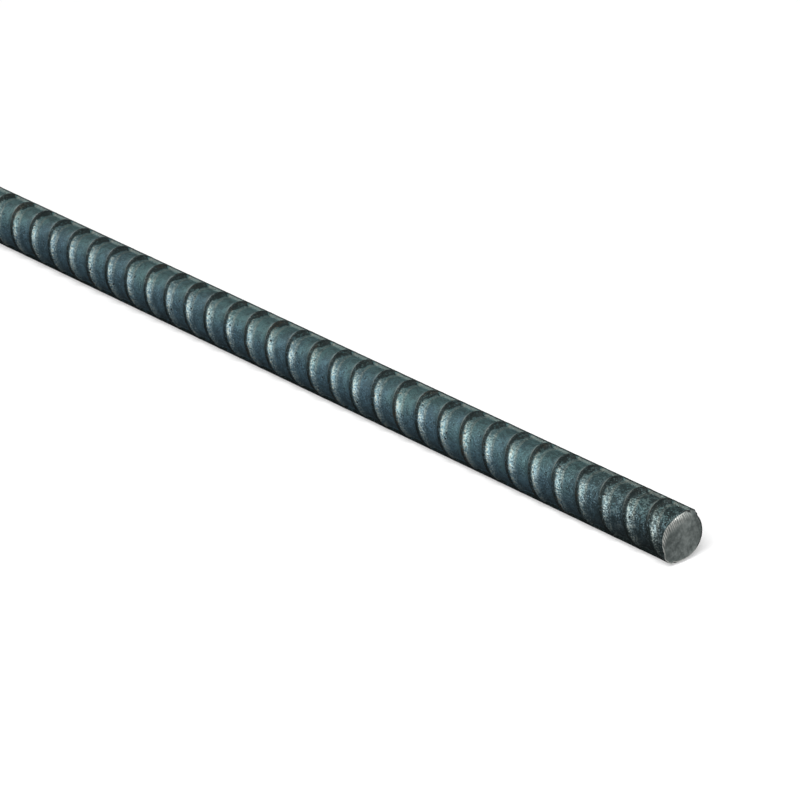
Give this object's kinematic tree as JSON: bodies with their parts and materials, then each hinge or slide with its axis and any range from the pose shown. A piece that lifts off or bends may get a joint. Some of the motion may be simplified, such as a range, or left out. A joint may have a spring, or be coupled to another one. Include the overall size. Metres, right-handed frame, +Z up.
{
  "type": "reinforcing bar",
  "caption": "Deformed steel reinforcing bar: a long round core with longitudinal ribs and slanted transverse ribs, cut at both ends in a shear.",
  "frame": {"origin": "on the bar's axis at mid-length", "axes": "+X along the bar towards the end shown in the picture, +Z up as it lies on a level floor"},
  "size_m": [0.6104, 0.0124, 0.0124],
  "materials": {
    "mill_scale_steel": "hot-rolled mill scale, dark blue-grey, worn bright on the rib flanks, with faint rust"
  },
  "bodies": {
    "root": {"bar": "mill_scale_steel"}
  },
  "joints": []
}
